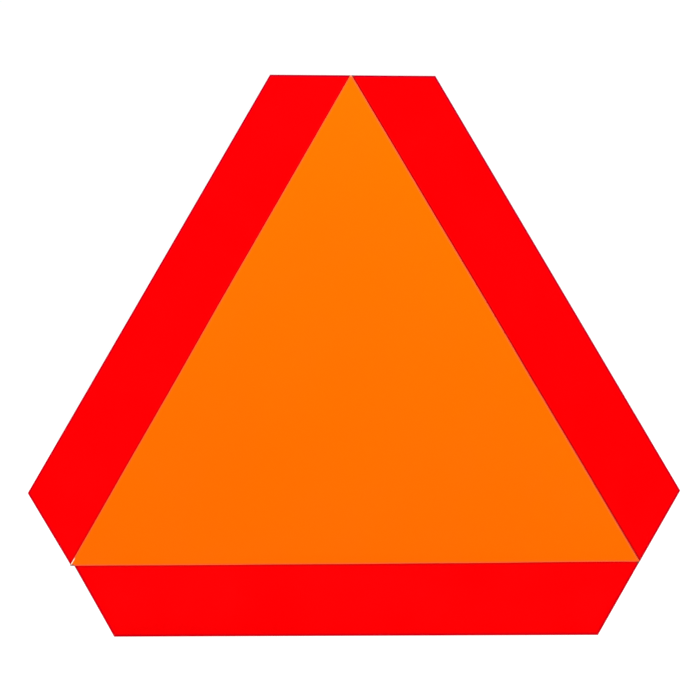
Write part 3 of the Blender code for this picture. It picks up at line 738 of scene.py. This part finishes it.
def edged(obj, width, segments=3, angle=28.0):
    """Rounds every sharp edge, and lets the large faces keep the shading flat."""
    work = bmesh.new()
    work.from_mesh(obj.data)
    bmesh.ops.remove_doubles(work, verts=work.verts, dist=2e-6)
    bmesh.ops.dissolve_degenerate(work, dist=2e-6, edges=work.edges)
    bmesh.ops.dissolve_limit(work, angle_limit=math.radians(0.4), verts=work.verts, edges=work.edges)
    work.to_mesh(obj.data)
    work.free()
    bevel = obj.modifiers.new("rounded_edges", "BEVEL")
    bevel.limit_method = "ANGLE"
    bevel.angle_limit = math.radians(angle)
    bevel.width = width
    bevel.segments = segments
    bevel.profile = 0.5
    bevel.use_clamp_overlap = False
    bevel.miter_outer = "MITER_ARC"
    weighted = obj.modifiers.new("weighted", "WEIGHTED_NORMAL")
    weighted.keep_sharp = False
    weighted.weight = 60
    obj.data.shade_smooth()
    return settled(obj)


def revolved(name, stations, x, z, materials, count=48, radius_at=None, closed=False, sharp=35.0, material_of=None):
    """A turned piece about a line along +Y through (x, z). stations: (radius, y) in order. radius_at(angle, radius, y) may change a radius."""
    work = bmesh.new()
    rows = []
    for radius, y in stations:
        if radius <= 0:
            rows.append([work.verts.new((x, y, z))])
            continue
        row = []
        for k in range(count):
            a = 2 * math.pi * k / count
            r = radius_at(a, radius, y) if radius_at else radius
            row.append(work.verts.new((x + r * math.cos(a), y, z + r * math.sin(a))))
        rows.append(row)
    pairs = list(zip(rows, rows[1:])) + ([(rows[-1], rows[0])] if closed else [])
    for n, (lower, upper) in enumerate(pairs):
        kind = material_of(n) if material_of else 0
        for i in range(count):
            j = (i + 1) % count
            if len(lower) == 1:
                face = work.faces.new((lower[0], upper[j], upper[i]))
            elif len(upper) == 1:
                face = work.faces.new((lower[i], lower[j], upper[0]))
            else:
                face = work.faces.new((lower[i], lower[j], upper[j], upper[i]))
            face.material_index = kind
    bmesh.ops.recalc_face_normals(work, faces=work.faces)
    obj = from_bmesh(name, work, materials)
    obj.data.shade_smooth()
    obj.data.set_sharp_from_angle(angle=math.radians(sharp))
    return obj


# ================================================================ films
def film_outline(corners, sides, gap, step=2.5 * MM):
    """Points along a film's outline, with the kind of side and the strength of its rim at each.

    sides: for each side None for an outer side, or (strength of the seam's rim, seam name, direction). A seam side follows its seam's
    wandering, set back by gap.
    """
    count = len(corners)
    lines = []
    for i in range(count):
        a, b = corners[i], corners[(i + 1) % count]
        ahead = (b - a).normalized()
        normal = Vector((-ahead.y, ahead.x))
        lines.append((a + normal * gap[i], b + normal * gap[i], normal))
    moved = [crossing(lines[i - 1][0], lines[i - 1][1], lines[i][0], lines[i][1]) for i in range(count)]
    points, kinds, strengths = [], [], []
    for i in range(count):
        a, b = moved[i], moved[(i + 1) % count]
        normal = lines[i][2]
        pieces = max(1, int((b - a).length / step))
        for k in range(pieces):
            t = k / pieces
            p = a + (b - a) * t
            strength = 0.0
            if sides[i]:
                strength, seam_name, sign = sides[i]
                share = t if sign > 0 else 1 - t
                # the knife slips a little, apart from the line that both films follow
                slip = 0.012 * MM * math.sin(61.0 * share + 2 * i) * math.sin(math.pi * share)
                p = p + normal * (SEAMS[seam_name](share) * sign + slip)
            points.append(p)
            kinds.append("seam" if sides[i] else "outer")
            strengths.append(strength)
    return points, kinds, strengths


G_RED, G_ORANGE = 0.05 * MM, 0.03 * MM
INSETS = (1.0 * MM, 3.0 * MM)
FILM_BEVEL = 0.06 * MM


def film(name, node, corners, sides, gap, material):
    points, kinds, strengths = film_outline(corners, sides, gap)
    obj = film_sheet(name, points, kinds, strengths, Y_FILM_FRONT, Y_FILM_BACK, FILM_BEVEL, [material], INSETS)
    return stands_for(obj, node, "emblem")


film(
    "orange_film",
    "fluorescent_triangle_film",
    [ORANGE_LEFT, ORANGE_RIGHT, apex_right, apex_left],
    [(0.85, "bottom", 1), (1.0, "right", 1), None, (0.8, "left", 1)],
    [G_ORANGE, G_ORANGE, 0.0, G_ORANGE],
    ORANGE,
)
film(
    "red_film_left",
    "red_border_film_left",
    [LEFT_TIP, apex_left, TOP_LEFT, LEFT_UPPER],
    [(0.6, "left", -1), None, None, None],
    [G_RED, 0.0, 0.0, 0.0],
    RED,
)
film(
    "red_film_right",
    "red_border_film_right",
    [RIGHT_TIP, RIGHT_UPPER, TOP_RIGHT, apex_right],
    [None, None, None, (0.95, "right", -1)],
    [0.0, 0.0, 0.0, G_RED],
    RED,
)
film(
    "red_film_bottom",
    "red_border_film_bottom",
    [LEFT_LOWER, RIGHT_LOWER, BOTTOM_RIGHT_TIP, BOTTOM_LEFT_TIP],
    [None, None, (0.65, "bottom", -1), None],
    [0.0, 0.0, G_RED, 0.0],
    RED,
)

# ================================================================ aluminium sheet, cut with its films, and its stud holes
studs = {}
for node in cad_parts:
    if node.startswith("clinch_stud_"):
        c = centre_of(node)
        studs[node[len("clinch_stud_"):]] = (c.x, c.z)
sheet_corners = [
    LEFT_LOWER,
    RIGHT_LOWER,
    RIGHT_TIP,
    RIGHT_UPPER,
    TOP_RIGHT,
    TOP_LEFT,
    LEFT_UPPER,
    LEFT_TIP + Vector((-0.0001, 0)),
    LEFT_TIP + Vector((-0.0001, -0.0008)),
    BOTTOM_LEFT_TIP + Vector((-0.0002, -0.0002)),
]
sheet_corners = [p - d * 0.03 * MM for p, d in zip(sheet_corners, miter(sheet_corners))]
sheet_outline = arc_corner(sheet_corners, [0.6 * MM, 0.6 * MM, 0.0, 0.6 * MM, 0.6 * MM, 0.6 * MM, 0.6 * MM, 0.2 * MM, 0.2 * MM, 0.2 * MM], 4)
sheet_loops = [sheet_outline] + [ring_points(x, z, 3.05 * MM, 48, clockwise=True) for x, z in studs.values()]
plate = layered_sheet("aluminium_sheet", sheet_loops, Y_PLATE_FRONT, Y_PLATE_BACK, 0.16 * MM, [ALUMINIUM])
stands_for(plate, "backing_plate", "emblem")

# ================================================================ T bracket
BLADE_TIP, POCKET_LOW, POCKET_HIGH = spade_low.z, pocket_low.z, pocket_high.z
JOGGLE = Y_BLADE_BACK - Y_PAD_BACK
joggle_low = up(141.0)
bar_low, bar_high, bar_half = up(207.0), spade_high.z, spade_high.x
blade_mid, pad_mid = Y_BLADE_BACK - SHEET / 2, Y_PAD_BACK - SHEET / 2


def strip(line, radius, thickness, steps=10):
    path = [Vector(line[0])]
    for i in range(1, len(line) - 1):
        p = Vector(line[i])
        back, ahead = (Vector(line[i - 1]) - p).normalized(), (Vector(line[i + 1]) - p).normalized()
        half = back.angle(ahead) / 2
        centre = p + (back + ahead).normalized() * (radius / math.sin(half))
        start = p + back * (radius / math.tan(half)) - centre
        end = p + ahead * (radius / math.tan(half)) - centre
        a0 = math.atan2(start.y, start.x)
        turn = (math.atan2(end.y, end.x) - a0 + math.pi) % (2 * math.pi) - math.pi
        for k in range(steps + 1):
            a = a0 + turn * k / steps
            path.append(centre + radius * Vector((math.cos(a), math.sin(a))))
    path.append(Vector(line[-1]))
    one, other = [], []
    for i, p in enumerate(path):
        before = (p - path[i - 1]).normalized() if i else (path[1] - p).normalized()
        after = (path[i + 1] - p).normalized() if i < len(path) - 1 else before
        heading = (before + after).normalized()
        normal = Vector((-heading.y, heading.x)) * (thickness / 2 / max(0.2, heading.dot(before)))
        one.append(p + normal)
        other.append(p - normal)
    return one + other[::-1]


spade = prism(
    strip(
        [(blade_mid, BLADE_TIP - 0.005), (blade_mid, joggle_low), (pad_mid, joggle_low + JOGGLE), (pad_mid, bar_high + 0.005)],
        4.5 * MM,
        SHEET,
    ),
    "X",
    -bar_half - 0.005,
    bar_half + 0.005,
)
blade_half_low, blade_half_high = 21.0 * MM, 25.0 * MM


def blade_half(z):
    share = (z - POCKET_LOW) / (POCKET_HIGH - POCKET_LOW)
    return min(blade_half_high, blade_half_low + (blade_half_high - blade_half_low) * share)


half = [
    (blade_half(BLADE_TIP), BLADE_TIP, 6 * MM),
    (blade_half_high, POCKET_HIGH, 0.0),
    (blade_half_high, bar_low, 10 * MM),
    (bar_half, bar_low, 8 * MM),
    (bar_half, bar_high, 8 * MM),
]
corners = [(x, z) for x, z, _ in half] + [(-x, z) for x, z, _ in reversed(half)]
radii = [r for _, _, r in half] + [r for _, _, r in reversed(half)]
t_shape = prism(arc_corner(corners, radii, 10), "Y", -0.04, 0.02)
boolean(spade, [t_shape], "INTERSECT")
boolean(spade, [cone_y(3.4 * MM, 3.4 * MM, -0.04, 0.02, x, z) for x, z in studs.values()], "DIFFERENCE")
spade.name = "t_bracket"
edged(spade, 0.35 * MM)
spade.data.materials.clear()
spade.data.materials.append(SPADE_COAT)
stands_for(spade, "mounting_spade", "emblem")

# ================================================================ studs, washers, lock nuts
for label, (x, z) in studs.items():
    lo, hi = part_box(f"clinch_stud_{label}")
    y_head, y_end = lo.y, hi.y
    head_r, head_h = (hi.x - lo.x) / 2, 0.95 * MM
    major, minor, pitch = 2.98 * MM, 2.45 * MM, 1.0 * MM
    turn_start = random.Random(label).uniform(0, 2 * math.pi)
    thread_start = Y_PLATE_BACK + 0.6 * MM
    stations = [(0, y_head), (head_r - 0.15 * MM, y_head), (head_r, y_head + 0.15 * MM), (head_r, y_head + head_h - 0.1 * MM), (head_r - 0.1 * MM, y_head + head_h), (major, y_head + head_h), (major, thread_start)]
    rows = int((y_end - thread_start) / pitch * 10)
    stations += [(major, thread_start + (y_end - thread_start) * (k + 1) / rows) for k in range(rows)]
    stations += [(1.2 * MM, y_end + 0.0), (0, y_end)]

    def thread(angle, radius, y, begin=thread_start, finish_at=y_end, phase=turn_start):
        if y <= begin + 1e-7 or radius < 2.0 * MM:
            return radius
        wave = ((y - begin) / pitch - (angle + phase) / (2 * math.pi)) % 1.0
        height = 1 - abs(2 * wave - 1)
        height = min(1.0, max(0.0, (height - 0.08) / 0.78))
        r = minor + (major - minor) * height
        run_in = min(1.0, (y - begin) / (0.8 * pitch))
        r = major + (r - major) * run_in
        return min(r, 2.25 * MM + (finish_at - y) * 1.0)

    stud = revolved(f"stud_{label}", stations, x, z, [ZINC], 40, thread, sharp=50.0)
    stands_for(stud, f"clinch_stud_{label}", "emblem")

    lo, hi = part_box(f"flat_washer_{label}")
    outer_r = (hi.x - lo.x) / 2
    bore = 3.2 * MM
    s = 0.22 * MM
    stations = [
        (bore + s * 0.6, lo.y), (outer_r - 0.1 * MM, lo.y), (outer_r, lo.y + 0.1 * MM), (outer_r, hi.y - s),
        (outer_r - s * 0.3, hi.y - s * 0.3), (outer_r - s, hi.y), (bore + s, hi.y), (bore + s * 0.3, hi.y - s * 0.3), (bore, hi.y - s), (bore, lo.y + s * 0.6),
    ]
    washer = revolved(f"washer_{label}", stations, x, z, [ZINC], 64, closed=True)
    stands_for(washer, f"flat_washer_{label}", "emblem")

    lo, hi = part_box(f"lock_nut_{label}")
    seat, top = lo.y, hi.y
    flats = 10.0 * MM
    corner = flats / math.sqrt(3)
    hex_top = seat + 4.5 * MM
    turned_by = random.Random(label + "nut").uniform(0, math.pi / 3)
    bore = 3.03 * MM

    def hexagon(angle, radius, y, turned_by=turned_by, hex_top=hex_top, seat=seat):
        if y > hex_top - 1e-7 or radius < 3.6 * MM:
            return radius
        a = (angle + turned_by) % (math.pi / 3) - math.pi / 6
        corner_soft = 0.12 * MM
        flat = flats / 2 / math.cos(a)
        flat = min(flat, corner - corner_soft)
        return min(radius, flat)

    chamfer = []
    for k in range(7):
        t = k / 6
        chamfer.append((flats / 2 * 0.95 + (corner - flats / 2 * 0.95) * t, seat + 0.02 * MM + 0.75 * MM * t))
    upper = [(r, hex_top - (y - seat)) for r, y in reversed(chamfer)]
    stations = (
        [(bore, seat + 0.4 * MM), (bore + 0.45 * MM, seat)]
        + [(flats / 2 * 0.90, seat)]
        + chamfer
        + upper
        + [(4.75 * MM, hex_top + 0.05 * MM), (4.55 * MM, hex_top + 0.25 * MM), (4.50 * MM, top - 0.55 * MM), (4.40 * MM, top - 0.25 * MM), (4.18 * MM, top - 0.06 * MM), (3.95 * MM, top)]
        + [(3.82 * MM, top - 0.05 * MM), (3.78 * MM, top - 0.30 * MM)]
        + [(3.60 * MM, top - 0.34 * MM), (3.20 * MM, top - 0.36 * MM), (bore, top - 0.50 * MM)]
    )
    insert_from = len(stations) - 4
    nut = revolved(
        f"nut_{label}", stations, x, z, [ZINC, NYLON], 96, hexagon, closed=True, sharp=32.0,
        material_of=lambda n, first=insert_from, last=len(stations) - 1: 1 if first <= n < last else 0,
    )
    stands_for(nut, f"lock_nut_{label}", "emblem")

# ================================================================ socket
rivets = {}
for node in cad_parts:
    if node.startswith("socket_rivet_"):
        c = centre_of(node)
        rivets[node[len("socket_rivet_"):]] = (c.x, c.z)
vehicle_holes = [(sx * 43.0 * MM, up(h)) for sx in (-1, 1) for h in (74.0, 110.0)]


def rounded_box(lo, hi, radius, steps=10):
    return arc_corner([(lo.x, lo.z), (hi.x, lo.z), (hi.x, hi.z), (lo.x, hi.z)], radius, steps)


back_plate = prism(rounded_box(socket_low, socket_high, 7 * MM), "Y", Y_SOCKET_FRONT, Y_SOCKET_BACK)
cutters = [cone_y(3.5 * MM, 3.5 * MM, -0.01, 0.01, x, z) for x, z in vehicle_holes]
cutters += [cone_y(2.1 * MM, 2.1 * MM, -0.01, 0.01, x, z) for x, z in rivets.values()]
cutters += [cone_y(2.05 * MM, 4.75 * MM, -1.7 * MM, 1.0 * MM, x, z) for x, z in rivets.values()]
boolean(back_plate, cutters, "DIFFERENCE")
back_plate.name = "socket_plate"
edged(back_plate, 0.25 * MM)
back_plate.data.materials.clear()
back_plate.data.materials.append(SOCKET_COAT)
stands_for(back_plate, "socket_back_plate", "socket")

# a pressed hat section with round bends, tapered with the blade
Y_INNER = Y_CROWN_FRONT + POCKET_SHEET
Y_FLANGE_FRONT = Y_FLANGE_BACK - POCKET_SHEET
RUN = 0.30 * MM
RO, RI = 2.5 * MM, 0.5 * MM


def bend(cx, cy, radius, a0, a1, steps=7):
    return [(cx + radius * math.cos(math.radians(a0 + (a1 - a0) * k / steps)), cy + radius * math.sin(math.radians(a0 + (a1 - a0) * k / steps))) for k in range(steps + 1)]


def hat(inner_half, reach):
    a, w = inner_half, inner_half + POCKET_SHEET
    outside = (
        bend(w - RO, Y_CROWN_FRONT + RO, RO, -90, 0)
        + bend(w + RI, Y_FLANGE_FRONT - RI, RI, 180, 90)
        + [(reach, Y_FLANGE_FRONT)]
    )
    inside = [(reach, Y_FLANGE_BACK)] + bend(a + RO, Y_FLANGE_BACK - RO, RO, 90, 180) + bend(a - RI, Y_INNER + RI, RI, 0, -90)
    right = outside + inside
    return right + [(-x, y) for x, y in reversed(right)]


def taper_at(z):
    share = (z - POCKET_LOW) / (POCKET_HIGH - POCKET_LOW)
    return blade_half_low + (blade_half_high - blade_half_low) * share + RUN


work = bmesh.new()
rows = []
reach = pocket_high.x + 0.004
for z in (POCKET_LOW - 0.004, POCKET_HIGH + 0.004):
    rows.append([work.verts.new((x, y, z)) for x, y in hat(taper_at(z), reach)])
work.faces.new(rows[0])
work.faces.new(rows[1])
for i in range(len(rows[0])):
    j = (i + 1) % len(rows[0])
    work.faces.new((rows[0][i], rows[0][j], rows[1][j], rows[1][i]))
bmesh.ops.recalc_face_normals(work, faces=work.faces)
pocket = from_bmesh("socket_channel", work, [])
boolean(pocket, [prism(rounded_box(pocket_low, pocket_high, 6 * MM), "Y", -0.03, 0.01)], "INTERSECT")
cutters = [cone_y(3.5 * MM, 3.5 * MM, -0.03, 0.01, x, z) for x, z in vehicle_holes]
cutters += [cone_y(2.1 * MM, 2.1 * MM, -0.03, 0.01, x, z) for x, z in rivets.values()]
boolean(pocket, cutters, "DIFFERENCE")
edged(pocket, 0.22 * MM, 3, 35.0)
pocket.data.materials.clear()
pocket.data.materials.append(SOCKET_COAT)
stands_for(pocket, "socket_pocket", "socket")

for label, (x, z) in rivets.items():
    lo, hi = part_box(f"socket_rivet_{label}")
    seat = Y_FLANGE_FRONT - 0.04 * MM
    head = lo.y
    dome_r, dome_h = 3.6 * MM, seat - lo.y
    stations = [(0, head)]
    for degrees in (78, 66, 54, 42, 30, 18, 8):
        a = math.radians(degrees)
        stations.append((dome_r * math.cos(a), seat - dome_h * math.sin(a)))
    stations += [(dome_r, seat - 0.08 * MM), (dome_r - 0.12 * MM, seat), (2.0 * MM, seat), (2.0 * MM, hi.y - 1.55 * MM), (3.35 * MM, hi.y - 0.12 * MM), (3.25 * MM, hi.y), (1.7 * MM, hi.y), (1.4 * MM, hi.y - 0.12 * MM), (0, hi.y - 0.14 * MM)]
    rivet = revolved(f"rivet_{label}", stations, x, z, [ZINC], 40, sharp=40.0)
    stands_for(rivet, f"socket_rivet_{label}", "socket")

# ================================================================ floor, light, camera
FLOOR_Z = BASE - 0.3 * MM
bpy.ops.mesh.primitive_grid_add(x_subdivisions=8, y_subdivisions=8, size=8.0, location=(0, 0, FLOOR_Z))
floor = bpy.context.object
floor.name = "studio_floor"
material, tree, shader = new_material("pale_floor")
output = tree.nodes["Material Output"]
geometry = tree.nodes.new("ShaderNodeNewGeometry")
distance = tree.nodes.new("ShaderNodeVectorMath")
distance.operation = "LENGTH"
tree.links.new(geometry.outputs["Position"], distance.inputs[0])
fade = remap(tree, distance.outputs["Value"], 0.35, 1.4, 0.0, 1.0, smooth=True)
angle = tree.nodes.new("ShaderNodeLayerWeight")
angle.inputs["Blend"].default_value = 0.5
grazing = remap(tree, angle.outputs["Facing"], 0.68, 0.80, 0.0, 1.0, smooth=True)
path = tree.nodes.new("ShaderNodeLightPath")
white = maths(tree, "MULTIPLY", maths(tree, "MAXIMUM", fade, grazing), path.outputs["Is Camera Ray"])
value_of(tree, shader.inputs["Base Color"], mixed(tree, path.outputs["Is Camera Ray"], (0.5, 0.5, 0.5), (0.88, 0.88, 0.88)))
shader.inputs["Roughness"].default_value = 0.9
shader.inputs["Specular IOR Level"].default_value = 0.1
glow = tree.nodes.new("ShaderNodeEmission")
glow.inputs["Color"].default_value = (1, 1, 1, 1)
glow.inputs["Strength"].default_value = 1.10
blend = tree.nodes.new("ShaderNodeMixShader")
tree.links.new(white, blend.inputs[0])
tree.links.new(shader.outputs[0], blend.inputs[1])
tree.links.new(glow.outputs[0], blend.inputs[2])
tree.links.new(blend.outputs[0], output.inputs["Surface"])
floor.data.materials.append(material)
floor.visible_glossy = False

world = bpy.data.worlds.new("studio")
bpy.context.scene.world = world
world.use_nodes = True
tree = world.node_tree
tree.nodes.clear()
out = tree.nodes.new("ShaderNodeOutputWorld")
path = tree.nodes.new("ShaderNodeLightPath")
coordinates = tree.nodes.new("ShaderNodeTexCoord")
direction = along(tree, coordinates.outputs["Generated"])
# what mirrors see: dark behind the camera of the front view, bright to the sides, above and behind the emblem
front = maths(tree, "MULTIPLY", direction["Y"], -1.0)
dark = remap(tree, front, 0.35, 0.80, 1.0, 0.0, smooth=True)
height = remap(tree, direction["Z"], -0.60, 0.60, 0.50, 0.92, smooth=True)
bands = tree.nodes.new("ShaderNodeTexWave")
bands.wave_type = "BANDS"
bands.bands_direction = "X"
bands.inputs["Scale"].default_value = 0.55
bands.inputs["Distortion"].default_value = 0.0
tree.links.new(coordinates.outputs["Generated"], bands.inputs["Vector"])
panels = remap(tree, bands.outputs["Fac"], 0.30, 0.70, 0.66, 1.08, smooth=True)
mirror = maths(tree, "MULTIPLY", maths(tree, "MULTIPLY", dark, height), panels)
lit = remap(tree, direction["Z"], -1.0, 1.0, 0.26, 0.46)
strength = maths(tree, "ADD", maths(tree, "MULTIPLY", path.outputs["Is Glossy Ray"], mirror), maths(tree, "MULTIPLY", maths(tree, "SUBTRACT", 1.0, path.outputs["Is Glossy Ray"]), lit))
seen = path.outputs["Is Camera Ray"]
strength = maths(tree, "ADD", maths(tree, "MULTIPLY", seen, 1.02), maths(tree, "MULTIPLY", maths(tree, "SUBTRACT", 1.0, seen), strength))
background = tree.nodes.new("ShaderNodeBackground")
background.inputs["Color"].default_value = (1, 1, 1, 1)
tree.links.new(strength, background.inputs["Strength"])
tree.links.new(background.outputs[0], out.inputs["Surface"])
world.cycles.sampling_method = "NONE"

middle = Vector((0, Y_FILM_FRONT, up(150)))


def softbox(name, location, target, size, power, glossy=False):
    light = bpy.data.lights.new(name, "AREA")
    light.shape = "RECTANGLE"
    light.size, light.size_y = size
    light.energy = power
    obj = bpy.data.objects.new(name, light)
    bpy.context.scene.collection.objects.link(obj)
    obj.location = location
    obj.rotation_mode = "QUATERNION"
    obj.rotation_quaternion = (Vector(target) - Vector(location)).to_track_quat("-Z", "Y")
    obj.visible_glossy = glossy
    obj.visible_camera = False
    return obj


softbox("key_left", (-0.66, -0.50, 0.55), middle, (0.5, 0.5), 3.75)
softbox("key_right", (0.62, -0.50, 0.55), middle, (0.5, 0.5), 4.5)
softbox("top", (0.0, -0.45, 0.75), middle + Vector((0, 0, 0.15)), (0.6, 0.3), 3.0)
softbox("rear", (-0.55, 0.95, 1.0), (0, 0.1, 0.05), (0.7, 0.7), 11.0)
softbox("rear_right", (0.75, 0.85, 0.8), (0, 0.1, 0.05), (0.5, 0.5), 6.0)

camera_data = bpy.data.cameras.new("camera")
camera_data.lens = 85.0
camera_data.sensor_width = 36.0
camera = bpy.data.objects.new("camera", camera_data)
bpy.context.scene.collection.objects.link(camera)
camera.location = (1.02 * MM, Y_FILM_FRONT - 1047.87 * MM, up(155.1))
turn = Vector([math.radians(v) for v in (-1.394, -0.239, -0.169)])
lean = Matrix.Rotation(turn.length, 3, turn.normalized())
camera.rotation_mode = "QUATERNION"
camera.rotation_quaternion = (lean.transposed() @ Matrix.Rotation(math.pi / 2, 3, "X")).to_quaternion()
camera_data.clip_start, camera_data.clip_end = 0.05, 50.0
bpy.context.scene.camera = camera

bpy.context.scene.view_settings.view_transform = "Standard"
bpy.context.scene.view_settings.look = "None"
